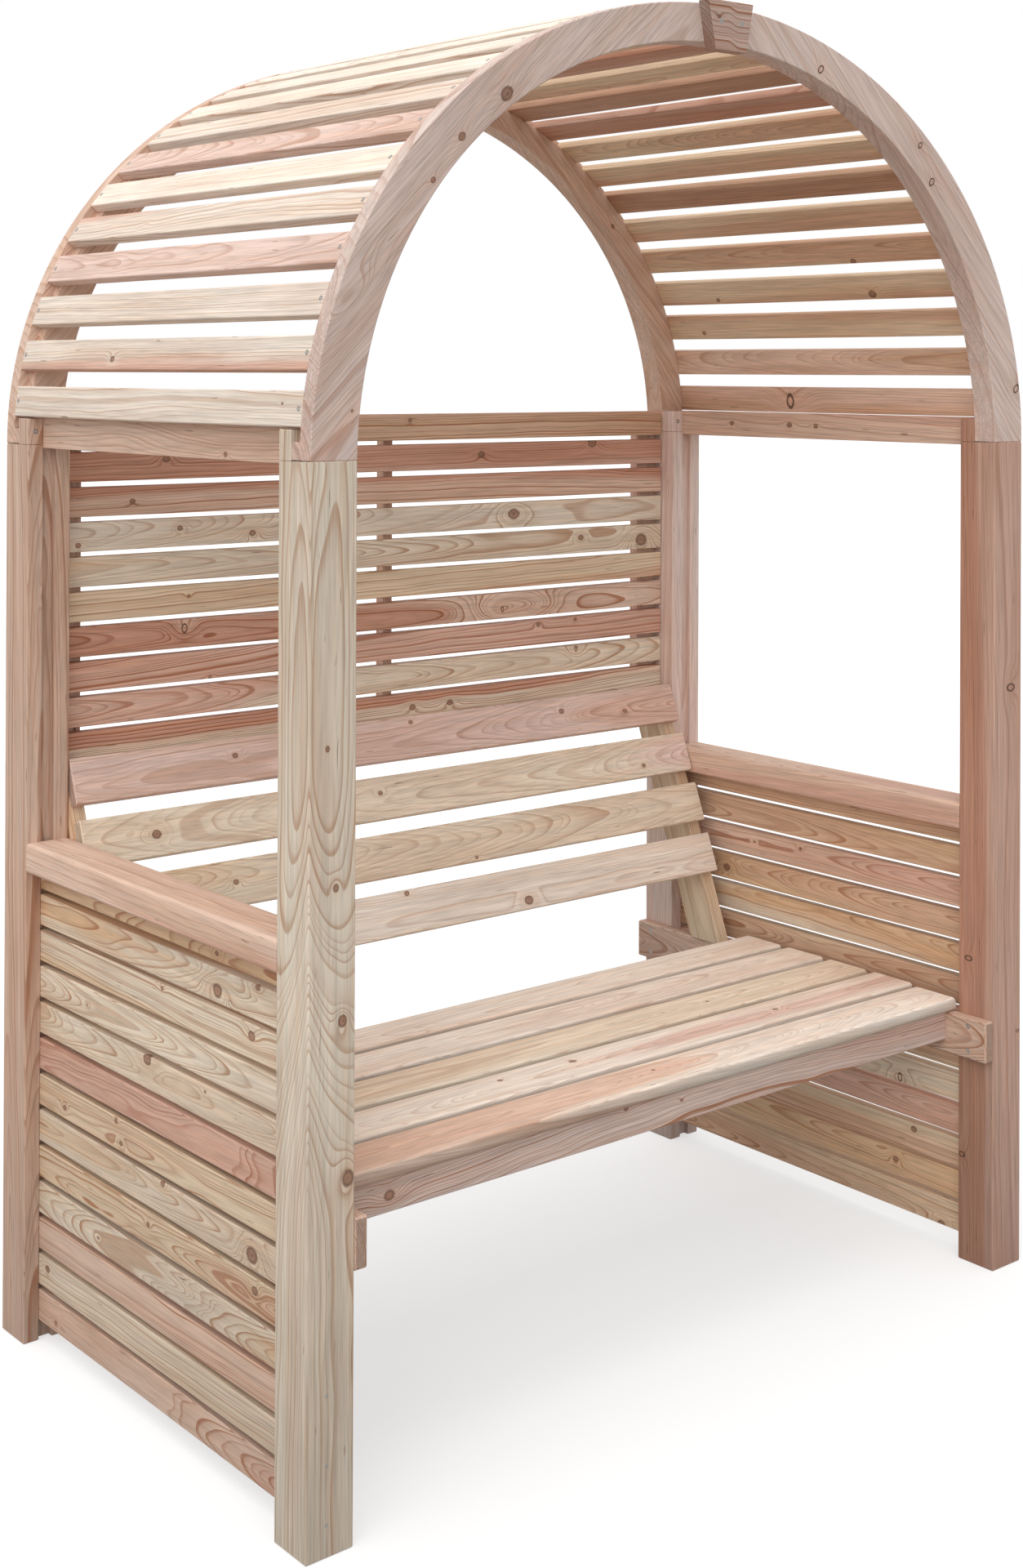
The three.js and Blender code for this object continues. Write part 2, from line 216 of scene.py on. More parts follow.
def post_timber(side, rear):
    """A square post, grooved and tongued on its inner side.

    Its plan is carried up Z. Above the shoulder, the plan's points in front of the tongue move back
    onto the tongue's front face, y = max(y, tongue front), at the same height first.
    """
    half, groove = POST / 2, GROOVE_WIDTH / 2
    bottom = half - GROOVE_DEPTH
    plan = [(-half, -half), (half, -half), (half, half), (groove, half),
            (groove, bottom), (-groove, bottom), (-groove, half), (-half, half)]
    radii_mm = np.array([2.6, 2.6, 2.6, 0.9, 0.4, 0.4, 0.9, 2.6])
    inside = np.linspace(0.15, SHOULDER - POST_EASE, 8)
    heights = np.concatenate([[0, POST_EASE], inside, [SHOULDER]])
    shaft = set_in(plan, radii_mm / 1000, heights, POST_EASE)
    upper = np.array([SHOULDER, SHOULDER + 0.01, RAIL_TOP - END_EASE, RAIL_TOP])
    tongue = set_in(plan, radii_mm / 1000, upper, END_EASE)
    tongue[0] = tongue[1]
    tongue[..., 1] = np.maximum(tongue[..., 1], half - TONGUE_THICKNESS)
    flat = np.concatenate([shaft, tongue])
    z = np.concatenate([heights, upper])
    turn = -1 if rear else 1
    rings = np.stack([
        side * POST_X + turn * flat[..., 0],
        turn * (flat[..., 1] - POST_Y),
        np.broadcast_to(z[:, None], flat.shape[:2]),
    ], axis=-1)
    return skinned(rings)


def evenly_along(half_width, rise, shares):
    """Points of a quarter ellipse, x = a cos t and z = b sin t, at shares of its own length."""
    angle = np.linspace(0, math.pi / 2, 2001)
    curve = np.stack([half_width * np.cos(angle), rise * np.sin(angle)], axis=-1)
    travel = np.concatenate([[0], np.linalg.norm(np.diff(curve, axis=0), axis=1).cumsum()])
    return np.stack([np.interp(shares * travel[-1], travel, curve[:, i]) for i in (0, 1)], axis=-1)


QUARTER = evenly_along(HALF_WIDTH, ARCH_RISE, np.linspace(0, 1, 2001))
QUARTER_LENGTH = np.linalg.norm(np.diff(QUARTER, axis=0), axis=1).sum()


def arch_timber(side, rear):
    """One half of an arch, from the post's shoulder to the crown.

    A point of the section has a depth d below the outer edge and a distance y behind the outer
    face. At a share s of the length it lies at outer(s) + (inner(s) - outer(s)) d / D(s), where
    outer and inner are quarter ellipses and D is their distance. The section is a rectangle with a
    rebate in its inner outer corner, which starts at a step above the foot.
    """
    ease = POST_EASE / QUARTER_LENGTH
    step = REBATE_START / QUARTER_LENGTH
    foot = [0, ease, step]
    shares = np.concatenate([foot, np.linspace(step, 1 - ease, 44), [1]])
    rebate = np.full_like(shares, SLAT_THICKNESS + CLEARANCE)
    rebate[:len(foot)] = NO_REBATE
    outer = evenly_along(HALF_WIDTH, ARCH_RISE, shares)
    inner = evenly_along(INNER_X, ARCH_INNER_RISE, shares)
    depth = np.linalg.norm(inner - outer, axis=1)
    front = np.zeros_like(depth)
    shelf, back = front + ARCH_THICKNESS - REBATE_WIDTH, front + ARCH_THICKNESS
    corners = np.stack([
        np.stack(corner, -1) for corner in
        ((front, front), (depth, front), (depth, back), (rebate, back), (rebate, shelf),
         (front, shelf))], axis=1)
    radii = np.array([2.0, 2.0, 1.5, 1.0, 0.3, 1.0]) / 1000 * np.ones((len(shares), 1))
    radii[:len(foot), 3:] = SHARP
    flat = eased(corners, radii)
    small = eased(shrunk(corners, POST_EASE), np.maximum(radii - POST_EASE, SHARP / 2))
    flat[0], flat[-1] = small[0], small[-1]
    share = flat[..., :1] / depth[:, None, None]
    place = outer[:, None] + (inner - outer)[:, None] * share
    turn = -1 if rear else 1
    rings = np.stack([
        side * place[..., 0],
        turn * (flat[..., 1] - HALF_DEPTH),
        place[..., 1] + SHOULDER,
    ], axis=-1)
    return skinned(rings)


def profile_timber(outline, radius, run, centre, u_axis, v_axis):
    """A closed outline in u and v carried straight along a run between two places."""
    stations = np.array([run[0], run[0] + END_EASE, run[1] - END_EASE, run[1]])
    flat = set_in(outline, radius, stations, END_EASE)
    w_axis = np.cross(u_axis, v_axis)
    rings = (np.asarray(centre) + flat[..., :1] * u_axis + flat[..., 1:] * v_axis
             + stations[:, None, None] * w_axis)
    return skinned(rings)


# ---- Pieces ----

def add_mesh(name, points, faces):
    """A piece of smooth faces, sharp where they meet at more than 38 degrees."""
    mesh = bpy.data.meshes.new(name)
    mesh.from_pydata(points.tolist(), [], faces)
    mesh.shade_smooth()
    mesh.set_sharp_from_angle(angle=math.radians(38))
    piece = bpy.data.objects.new(name, mesh)
    bpy.context.scene.collection.objects.link(piece)
    shading = piece.modifiers.new("flat faces stay flat", "WEIGHTED_NORMAL")
    shading.keep_sharp = True
    return piece


def write_constant(mesh, name, value):
    """The same vector on every point of a mesh, for the wood's shader."""
    attribute = mesh.attributes.new(name, "FLOAT_VECTOR", "POINT")
    attribute.data.foreach_set("vector", np.tile(np.asarray(value, np.float32), len(mesh.vertices)))


# How a board was cut from its log: how far its middle is from the pith, how far round from flat
# sawn it is in degrees, how much the pith climbs along the board, and its ring width
CUTS = {
    "flat": (0.045, 8, 0.034, 0.0021),
    "flat near the pith": (0.030, 5, 0.030, 0.0022),
    "rift": (0.070, 48, 0.010, 0.0038),
    "quarter": (0.085, 82, 0.004, 0.0040),
}

# The heartwood's edge relative to the board's middle, in metres: far below is all sapwood
HEARTS = {"none": -1.0, "some": -0.012, "half": 0.0, "much": 0.012}

# Colours of the planed wood, from the palest sapwood to the deepest heartwood
WOODS = {
    "white": (0.86, 0.775, 0.685),
    "grey": (0.765, 0.68, 0.565),
    "cream": (0.80, 0.695, 0.56),
    "straw": (0.77, 0.62, 0.45),
    "golden": (0.735, 0.52, 0.335),
    "tan": (0.70, 0.485, 0.34),
    "peach": (0.78, 0.575, 0.46),
    "pink": (0.77, 0.585, 0.51),
    "mauve": (0.73, 0.595, 0.54),
    "rose": (0.72, 0.475, 0.38),
    "red": (0.65, 0.37, 0.265),
    "brown": (0.55, 0.34, 0.235),
}

# Knots seen on the timbers: the place on the face and the radius, in millimetres
KNOTS = {
    "front_arch_left": [(-390, -406, 1796, 8.5), (-464, -406, 1735, 5.2), (-510, -406, 1677, 3.6),
                        (-633, -406, 1387, 2.0)],
    "front_arch_right": [(210, -406, 1885, 7.2), (437, -406, 1789, 6.3), (465, -406, 1734, 7.0),
                         (678, -406, 1412, 7.9)],
    "rear_arch_right": [(496, 365, 1706, 3.8)],
    "left_top_rail": [(-669, -173, 1327, 3.2)],
    "right_top_rail": [(649, 64, 1344, 4.4), (649, 1, 1343, 3.6), (649, 207, 1344, 3.7)],
    "front_left_post": [(-634, -406, 452, 8.5), (-643, -406, 645, 6.0), (-654, -406, 808, 4.0),
                        (-667, -406, 978, 3.0)],
    "rear_left_post": [(-666, 336, 1099, 3.6)],
    "front_right_post": [(667, -406, 930, 9.2), (624, -356, 490, 6.6), (624, -343, 170, 6.6),
                         (686, -406, 373, 4.0)],
    "back_batten_02": [(-443, 366, 1298, 5.1), (188, 366, 1291, 5.7), (448, 366, 1307, 7.5)],
    "back_batten_04": [(-418, 366, 1189, 3.8), (-284, 366, 1175, 5.3), (262, 366, 1184, 8.7),
                       (-595, 366, 1170, 3.7)],
    "back_batten_05": [(421, 366, 1135, 4.5), (571, 366, 1124, 10.7)],
    "back_batten_07": [(-409, 366, 1031, 7.1), (237, 366, 1016, 5.1)],
    "back_batten_08": [(-362, 366, 950, 2.6), (320, 366, 984, 3.7), (408, 366, 987, 3.0)],
    "back_batten_09": [(410, 366, 933, 5.2)],
    "back_batten_10": [(39, 366, 863, 4.9), (120, 366, 863, 5.0)],
    "backrest_board_1": [(-69, 235, 587, 4.0), (176, 217, 542, 6.9)],
    "backrest_board_2": [(87, 248, 621, 2.7), (-379, 259, 648, 3.8)],
    "backrest_board_3": [(-500, 292, 733, 6.2), (-79, 295, 742, 3.4), (506, 287, 721, 3.7)],
    "backrest_board_4": [(-338, 329, 828, 3.9), (12, 335, 844, 3.4), (344, 330, 830, 4.4),
                         (493, 325, 817, 3.7)],
    "seat_board_2": [(-72, -179, 421, 4.8), (-208, -177, 421, 3.5), (347, -191, 421, 3.9)],
    "seat_board_3": [(292, -93, 421, 2.6)],
    "seat_apron": [(9, -326, 386, 2.4), (-513, -326, 377, 7.3), (-100, -326, 398, 3.5)],
    "right_side_batten_01": [(649, -282, 32, 4.7)],
    "right_side_batten_02": [(649, -185, 110, 4.8)],
    "right_side_batten_03": [(649, -224, 171, 4.8)],
    "right_side_batten_05": [(649, -194, 250, 6.9)],
    "right_side_batten_10": [(649, 216, 529, 6.0)],
    "right_side_batten_11": [(649, 146, 587, 2.2), (649, 34, 594, 2.9)],
    "left_side_batten_02": [(-669, 309, 114, 4.8)],
    "left_side_batten_05": [(-669, -252, 272, 5.2), (-669, 17, 271, 3.3)],
    "left_side_batten_06": [(-669, -245, 315, 9.3), (-669, -21, 338, 4.4)],
    "left_side_batten_07": [(-669, 106, 387, 3.4), (-669, 92, 360, 3.4), (-669, 258, 365, 3.6)],
    "left_side_batten_09": [(-669, 21, 495, 7.8), (-669, -130, 491, 2.1)],
    "left_side_batten_11": [(-669, -242, 591, 6.2), (-669, -18, 601, 3.3)],
    "left_side_batten_12": [(-669, -160, 630, 8.5), (-669, -256, 656, 4.1)],
    "roof_slat_02": [(-680, 107, 1451, 4.6)],
    "roof_slat_25": [(592, -135, 1626, 4.8)],
    "roof_slat_26": [(622, -151, 1571, 6.9), (623, 217, 1569, 3.7)],
    "roof_slat_27": [(647, 277, 1510, 3.8)],
    "roof_slat_29": [(675, 86, 1386, 13.0)],
}
NO_KNOT = (0, 0, -5, 0)

# Timbers whose knots are dead: they show as a dark outline round wood of the board's own colour
OUTLINED = {"front_arch_right", "front_right_post", "back_batten_07", "back_batten_09",
            "roof_slat_29", "right_side_batten_05"}


def chance_knot(chance, middle, size, run, across, face):
    """A small knot somewhere on a board's face, or none."""
    along, aside = chance.uniform(-0.45, 0.45), chance.uniform(-0.3, 0.3)
    radius = chance.uniform(1.8, 4.0) / 1000
    place = middle + run * along * abs(size @ run) + across * aside * abs(size @ across)
    return [(*(place + face * abs(size @ face) / 2), radius)] if chance.random() < 0.5 else []


def timber(name, shape, run, face, slot, woods, seed, nodes=None, cut="flat", heart="half",
           light=1.0, lines=1.0, wander=1.0, rings=None, pith=None, crook=None, swell=None,
           edges=0.0):
    """A finished timber: its mesh, its figure and its place on the frame.

    woods are its sapwood and heartwood. pith is the way from the timber's middle to the pith, crook
    is how far the pith moves aside between two distances along the timber, and swell is a long
    hump of the rings: its place, then its half length, half width and height. edges is how much
    darker the sides of a level board are painted: painted shade on the upright sides, which get
    less of the light from above. It stands for the nodes, or else for the node of its own name.
    """
    points, faces = shape
    piece = add_mesh(name, points, faces)
    low, high = points.min(0), points.max(0)
    middle, size = (low + high) / 2, high - low
    chance = np.random.default_rng(1000 + seed)
    distance, round_, climb, usual_rings = CUTS[cut]
    distance *= chance.uniform(0.85, 1.25)
    angle = math.radians(round_ + chance.uniform(-7, 7))
    side = chance.choice((-1, 1))
    climb *= side * chance.uniform(0.5, 1.5)
    slope = chance.uniform(-0.004, 0.004)
    run, face = unit(run), unit(face)
    across = np.cross(face, run)
    radial = math.cos(angle) * face + math.sin(angle) * across * side
    if pith is None:
        grain = unit(run + climb * radial + slope * across)
        pith = -radial * distance
    else:
        grain, distance = run, float(np.linalg.norm(pith))
    length = abs(size @ run)
    if crook is None:
        start = chance.uniform(-0.5, 0.1) * length
        reach = chance.uniform(-0.010, 0.010)
        crook = (radial * reach, start, start + chance.uniform(0.25, 0.6) * length)
    if swell is None:
        place = middle + run * chance.uniform(-0.4, 0.4) * length + face * abs(size @ face) / 2
        half_length, half_width = chance.uniform(0.10, 0.22), chance.uniform(0.012, 0.022)
        swell = (place, half_length, half_width, chance.uniform(-0.006, 0.006))
    sapwood, heartwood = woods.split()
    figure = {
        "pith": middle + np.asarray(pith),
        "grain": grain,
        "growth": (distance + HEARTS[heart], rings or usual_rings, chance.uniform(3, 90)),
        "figure": (light, lines, wander),
        "crook": crook[0],
        "crook_span": (*crook[1:], 0),
        "swell": swell[0],
        "swell_size": swell[1:],
        "sapwood": WOODS[sapwood],
        "heartwood": WOODS[heartwood],
    }
    seen = np.array(KNOTS.get(name, [])).reshape(-1, 4) / 1000
    knots = [*seen] or chance_knot(chance, middle, size, run, across, face)
    knots = [*knots, *[NO_KNOT] * 4][:4]
    figure |= {f"knot_{i + 1}": knot[:3] for i, knot in enumerate(knots)}
    figure["knot_sizes"] = [knot[3] for knot in knots[:3]]
    # The last knot's size, whether the knots are dead, and the painted shade on the sides of level
    # boards
    figure["last_knot"] = (knots[3][3], name in OUTLINED, edges)
    for key, value in figure.items():
        write_constant(piece.data, key, value)
    piece.data.materials.append(larch)
    nodes = nodes or [name]
    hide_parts(*nodes)
    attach(piece, "root")


def planed_board(name, slot, centre, run, face, size, radius, ease=END_EASE, bow=0.0, sway=0.0,
                 **figure):
    """A straight board with eased long edges: a rounded rectangle in W and T carried along the
    run, finished as a timber.

    size is its length, width and thickness. T is the face's direction and W is T x run. At a share
    s of the length, the section moves by bow times 1 - (2 s - 1)^2 along T, and by sway times the
    same along W, as planed timber does.
    """
    length, width, thickness = size
    run, face = unit(run), unit(face)
    across = np.cross(face, run)
    half_w, half_t = width / 2, thickness / 2
    section = [(-half_w, -half_t), (half_w, -half_t), (half_w, half_t), (-half_w, half_t)]
    inner = np.linspace(ease, length - ease, 7)
    stations = np.concatenate([[0], inner, [length]]) - length / 2
    flat = set_in(section, radius, stations, ease)
    arch = (1 - (2 * stations / length) ** 2)[:, None]
    w = flat[..., 0] + sway * arch
    t = flat[..., 1] + bow * arch
    rings = (np.asarray(centre) + stations[:, None, None] * run
             + w[..., None] * across + t[..., None] * face)
    timber(name, skinned(rings), run, face, slot, **figure)


# ---- Finishes ----

class Flow:
    """What a shader node gives at each point of a surface: a number, a vector or a colour.

    Sums, products and the like of flows add nodes, and @ is the dot product of two vectors.
    """

    def __init__(self, tree, socket):
        self.tree, self.socket = tree, socket

    def beside(self, output):
        """Another output of the same node."""
        return Flow(self.tree, self.socket.node.outputs[output])

    def maths(self, operation, *others):
        kind = "ShaderNodeMath" if self.socket.type == "VALUE" else "ShaderNodeVectorMath"
        return self.tree.add(kind, self, *others, operation=operation)

    def __add__(self, other):
        return self.maths("ADD", other)

    def __sub__(self, other):
        return self.maths("SUBTRACT", other)

    def __rsub__(self, number):
        return self.tree.add("ShaderNodeMath", number, self, operation="SUBTRACT")

    def __mul__(self, number):
        if self.socket.type == "VALUE":
            return self.maths("MULTIPLY", number)
        return self.tree.add("ShaderNodeVectorMath", self, operation="SCALE",
                             named={"Scale": number})

    def __truediv__(self, number):
        return self.maths("DIVIDE", number)

    def __matmul__(self, other):
        return self.maths("DOT_PRODUCT", other).beside("Value")

    def length(self):
        return self.maths("LENGTH").beside("Value")

    def most(self, other):
        return self.maths("MAXIMUM", other)

    def between(self, low, high, to_low=0.0, to_high=1.0):
        """A smooth step from to_low at low to to_high at high."""
        return self.tree.add("ShaderNodeMapRange", self, low, high, to_low, to_high,
                             interpolation_type="SMOOTHSTEP")

    def parts(self):
        """The vector's X, Y and Z."""
        x = self.tree.add("ShaderNodeSeparateXYZ", self)
        return x, x.beside(1), x.beside(2)


class Tree:
    """Adds shader nodes to a material or a world."""

    def __init__(self, owner):
        owner.use_nodes = True
        self.nodes = owner.node_tree.nodes
        self.links = owner.node_tree.links

    def found(self, kind):
        """The node of this kind that is there from the start."""
        return next(node for node in self.nodes if node.type == kind)

    def feed(self, socket, value):
        """Links a flow to the socket, or sets the socket's own value."""
        if isinstance(value, Flow):
            self.links.new(value.socket, socket)
        else:
            socket.default_value = value

    def add(self, kind, *inputs, named=None, output=0, **settings):
        """A new node, fed in the order of its inputs or by their names: one of its outputs."""
        node = self.nodes.new(kind)
        for key, value in settings.items():
            setattr(node, key, value)
        for socket, value in zip(node.inputs, inputs):
            self.feed(socket, value)
        for key, value in (named or {}).items():
            self.feed(node.inputs[key], value)
        return Flow(self, node.outputs[output] if node.outputs else None)

    def attribute(self, name):
        return self.add("ShaderNodeAttribute", attribute_name=name, output="Vector")

    def mixed(self, factor, first, second, blend="MIX"):
        """The first colour turned towards the second one, or its blend with it, by a factor."""
        node = self.nodes.new("ShaderNodeMix")
        node.data_type, node.blend_type = "RGBA", blend
        sockets = {socket.identifier: socket for socket in (*node.inputs, *node.outputs)}
        for key, value in (("Factor_Float", factor), ("A_Color", first), ("B_Color", second)):
            self.feed(sockets[key], value)
        return Flow(self, sockets["Result_Color"])

    def tinted(self, factor, base, tint):
        """The base colour turned towards its own product with a tint by a factor."""
        return self.mixed(factor, base, tint, "MULTIPLY")

    def dress(self, looks):
        """Feeds the usual shader's sockets."""
        shader = self.found("BSDF_PRINCIPLED")
        for key, value in looks.items():
            self.feed(shader.inputs[key], value)


# Noise drawn out along the grain: its scale in a metre along it and across it, detail, roughness
GRAIN_NOISE = {
    "fibre": (3.5, 120.0, 4.0, 0.7),
    "hair": (14.0, 480.0, 1.0, 0.5),
    "streak": (1.6, 60.0, 2.0, 0.5),
    "cloud": (2.5, 12.0, 2.0, 0.5),
    "pitch": (22.0, 380.0, 0.0, 0.5),
    "slow bend": (1.1, 5.0, 0.0, 0.5),
    "ripple": (7.0, 22.0, 1.0, 0.5),
}
SLOW_BEND_REACH = 0.036
RIPPLE_REACH = 0.0050

# How far a knot pushes the rings out and how far that reaches, in its radii
KNOT_PUSH = 1.5
KNOT_REACH_ALONG = 3.6
KNOT_REACH_ACROSS = 2.0
LEAST_KNOT = 0.00001

# Of the late wood's darkness, the share in its crisp line: the rest rises through the ring
CRISP_SHARE = 0.68

# Tints that the board's own colour is multiplied by, and the colours of pitch and of knots
BLUSH_TINT = colour(0.97, 0.87, 0.82)
STREAK_TINT = colour(0.93, 0.82, 0.72)
LATE_WOOD_TINT = colour(0.55, 0.33, 0.21)
NEAR_KNOT_TINT = colour(0.90, 0.74, 0.62)
DEAD_KNOT_TINT = colour(0.92, 0.80, 0.74)
PITCH = colour(0.20, 0.10, 0.055)
KNOT_DARK = colour(0.22, 0.09, 0.05)
KNOT_LIGHT = colour(0.42, 0.22, 0.14)
KNOT_RIM = colour(0.11, 0.06, 0.04)
KNOT_EYE = colour(0.10, 0.05, 0.035)


def larch_finish(name):
    """Planed larch.

    A point's distance from the pith, bent by slow noise and pushed out round each knot, is divided
    by the ring width: its whole part is the ring, and its fraction runs from pale early wood to the
    dark late line, whose colour is a deeper one of the board's own. Heartwood fills the inside of
    the heart's edge, sapwood the outside. Fibres are noise drawn out along the grain.
    """
    material = bpy.data.materials.new(name)
    tree = Tree(material)
    place = tree.add("ShaderNodeTexCoord", output="Object")
    normal = place.beside("Normal")
    grain = tree.attribute("grain")
    heart_edge, ring_width, seed = tree.attribute("growth").parts()
    light, lines, wander = tree.attribute("figure").parts()
    offset = place - tree.attribute("pith")
    along = offset @ grain
    lengthwise = grain * along
    radial = offset - lengthwise
    start = tree.add("ShaderNodeCombineXYZ", seed, seed * 1.7, seed)

    def drawn_out(noise):
        """Noise whose coordinates have one scale along the grain and another across it."""
        lengthways, crossways, detail, roughness = GRAIN_NOISE[noise]
        stretched = lengthwise * lengthways + radial * crossways
        return tree.add("ShaderNodeTexNoise", named={
            "Vector": stretched + start, "Scale": 1.0, "Detail": detail, "Roughness": roughness})

    def bend(noise, reach):
        """A way aside: the noise about its middle, times the reach and the timber's wander."""
        centred = drawn_out(noise).beside("Color") - (0.5, 0.5, 0.5)
        return centred * (wander * reach)

    def hump(centre, reach_along, reach_across):
        """1 at the centre, falling off along and across the grain: exp(-(a/A)^2 - (b/B)^2)."""
        away = place - centre
        ahead = away @ grain
        aside = (away - grain * ahead).length()
        squares = ((ahead / reach_along).maths("POWER", 2.0)
                   + (aside / reach_across).maths("POWER", 2.0))
        return (squares * -1.0).maths("EXPONENT")

    fibre, hair, streak, cloud, pitch = map(
        drawn_out, ("fibre", "hair", "streak", "cloud", "pitch"))

    # The distance from the pith, with its crook, its bends and the timber's swell
    crook_start, crook_end, _ = tree.attribute("crook_span").parts()
    crook = tree.attribute("crook") * along.between(crook_start, crook_end)
    bends = bend("slow bend", SLOW_BEND_REACH) + bend("ripple", RIPPLE_REACH)
    swell_along, swell_across, swell_height = tree.attribute("swell_size").parts()
    swell = hump(tree.attribute("swell"), swell_along, swell_across)
    distance = (radial - crook + bends).length() + swell * swell_height

    # Knots: a round core, its eye and its outline, with the rings pushed out round it
    # edges is the painted shade on the sides of level boards
    last_size, outlined, edges = tree.attribute("last_knot").parts()
    squeeze = 0.2 - outlined * 0.75
    core, outline, halo, eye = 0.0, 0.0, 0.0, 0.0
    for i, size in enumerate((*tree.attribute("knot_sizes").parts(), last_size)):
        centre = tree.attribute(f"knot_{i + 1}")
        size = size.most(LEAST_KNOT)
        near = hump(centre, size * KNOT_REACH_ALONG, size * KNOT_REACH_ACROSS)
        distance += near * (size * KNOT_PUSH)
        away = place - centre
        ratio = ((away - grain * ((away @ grain) * squeeze)).length() / size
                 + (streak - 0.5) * 0.7 + (fibre - 0.5) * 0.35)
        halo = near.most(halo)
        core = ratio.between(1.10, 0.90).most(core)
        eye = ratio.between(0.30, 0.05).most(eye)
        outline = (ratio.between(0.55, 0.76) * ratio.between(1.20, 1.04)).most(outline)
    rim = outline * (outlined * 0.45 + 0.45)

    # Rings of uneven width, each with a strength of its own
    count = distance / ring_width
    uneven = tree.add("ShaderNodeTexNoise", noise_dimensions="1D", named={
        "W": count * 0.33 + seed, "Scale": 1.0, "Detail": 1.0})
    phase = count + uneven * 2.6
    share = phase.maths("FRACT")
    year = tree.add("ShaderNodeTexWhiteNoise", noise_dimensions="1D", output="Value",
                    named={"W": phase.maths("FLOOR") + seed.maths("FLOOR")})
    strength = year.between(0.0, 1.0, 0.5, 1.1)
    summer = share.between(0.0, 0.9) * share.between(1.0, 0.955)
    crisp = share.between(0.62, 0.88) * share.between(1.0, 0.94)
    worn = fibre.between(0.3, 0.6, 0.7, 1.0)
    late = (summer * (1 - CRISP_SHARE) + crisp * CRISP_SHARE) * worn * strength * lines

    # The board's colour, then its knots: brown ones, or dead ones of the board's own colour
    heart = (heart_edge - distance + (streak - 0.5) * 0.016).between(-0.0050, 0.0050)
    wood = tree.mixed(heart, tree.attribute("sapwood"), tree.attribute("heartwood"))
    wood = tree.tinted(cloud.between(0.40, 0.68) * 0.55, wood, BLUSH_TINT)
    wood = tree.tinted(streak.between(0.42, 0.70) * 0.5, wood, STREAK_TINT)
    wood = tree.tinted(late * 0.95, wood, LATE_WOOD_TINT)
    wood = tree.mixed(pitch.between(0.82, 0.86) * 0.6, wood, PITCH)
    knot = tree.mixed(1.0 - outlined, tree.tinted(1.0, wood, DEAD_KNOT_TINT),
                      tree.mixed(fibre, KNOT_DARK, KNOT_LIGHT))
    wood = tree.tinted(halo * 0.35, wood, NEAR_KNOT_TINT)
    wood = tree.mixed(core * 0.85, wood, knot)
    wood = tree.mixed(rim, wood, KNOT_RIM)
    wood = tree.mixed(eye * (0.4 - outlined * 0.3), wood, KNOT_EYE)

    # Shade: fibres, painted shade towards the ground and on the sides of level boards, and darker end
    # grain
    # Painted shade: every timber is darkened towards the ground, below about 0.75 m, where less light
    # reaches it
    height = place.parts()[2] + streak * 0.15
    # Painted shade: faces of level boards that turn sideways, found by their normal, darkened by up
    # to a third
    side = normal.parts()[2].between(0.92, 0.45) * edges
    end_grain = (normal @ grain).maths("ABSOLUTE").between(0.75, 0.95)
    shade = (fibre.between(0.30, 0.70, 0.87, 1.08) * light * hair.between(0.25, 0.62, 0.86, 1.03)
             * cloud.between(0.2, 0.8, 1.05, 0.95) * height.between(0.0, 0.75, 0.77, 1.0)
             * (1.0 - side * 0.32) * end_grain.between(0.0, 1.0, 1.0, 0.68))
    grey = tree.add("ShaderNodeCombineXYZ", shade, shade, shade)
    relief = late * 0.6 + fibre * 0.8 - rim * 0.8
    bump = tree.add("ShaderNodeBump", named={
        "Strength": 0.35, "Distance": 0.0006, "Height": relief})
    tree.dress({"Base Color": tree.tinted(1.0, wood, grey),
                "Roughness": late.between(0.0, 1.0, 0.66, 0.52) + end_grain * 0.2,
                "Specular IOR Level": 0.32, "Normal": bump})
    return material


larch = larch_finish("planed_larch")
screw_steel = bpy.data.materials.new("zinc_plated_steel")
Tree(screw_steel).dress({"Base Color": colour(0.33, 0.315, 0.30), "Roughness": 0.45,
                         "Metallic": 0.7})

# ---- Posts and arches ----

HANDS = ((-1, "left"), (1, "right"))
ENDS = ((False, "front"), (True, "rear"))
POST_FIGURES = (
    dict(woods="grey straw", heart="none", light=0.98, lines=0.68, rings=0.0044,
         pith=(0.055, 0.075, 0), crook=((-0.050, -0.073, 0), -0.30, 0.27),
         swell=((-0.694, -0.406, 1.10), 0.26, 0.030, -0.014)),
    dict(woods="rose red", light=0.81, lines=0.5, rings=0.0058,
         pith=(-0.055, 0.035, 0), crook=((0.004, 0.016, 0), -0.55, 0.60)),
    dict(woods="peach rose", cut="flat near the pith", heart="some", light=0.85, lines=0.8,
         rings=0.0036),
    dict(woods="mauve pink", heart="some", light=1.14, lines=0.4, rings=0.0050),
)
ARCH_FIGURES = (
    dict(woods="mauve pink", light=0.93, lines=0.5, wander=1.2, rings=0.0050,
         swell=((-0.633, -0.406, 1.521), 0.070, 0.026, 0.030)),
    dict(woods="mauve pink", heart="some", light=0.98, lines=0.45, wander=1.4, rings=0.0055),
    dict(woods="peach tan", cut="rift", light=0.95, lines=0.6, rings=0.0065),
    dict(woods="peach tan", lines=0.6, rings=0.0065),
)

for side, hand in HANDS:
    for rear, end in ENDS:
        number = (side > 0) + 2 * rear
        timber(
            f"{end}_{hand}_post", post_timber(side, rear), Z_AXIS, -Y_AXIS, "post_wood",
            seed=10 + number, **POST_FIGURES[number])
        timber(
            f"{end}_arch_{hand}", arch_timber(side, rear), (-side, 0, 1), -Y_AXIS, "arch_wood",
            seed=20 + number, **ARCH_FIGURES[number])

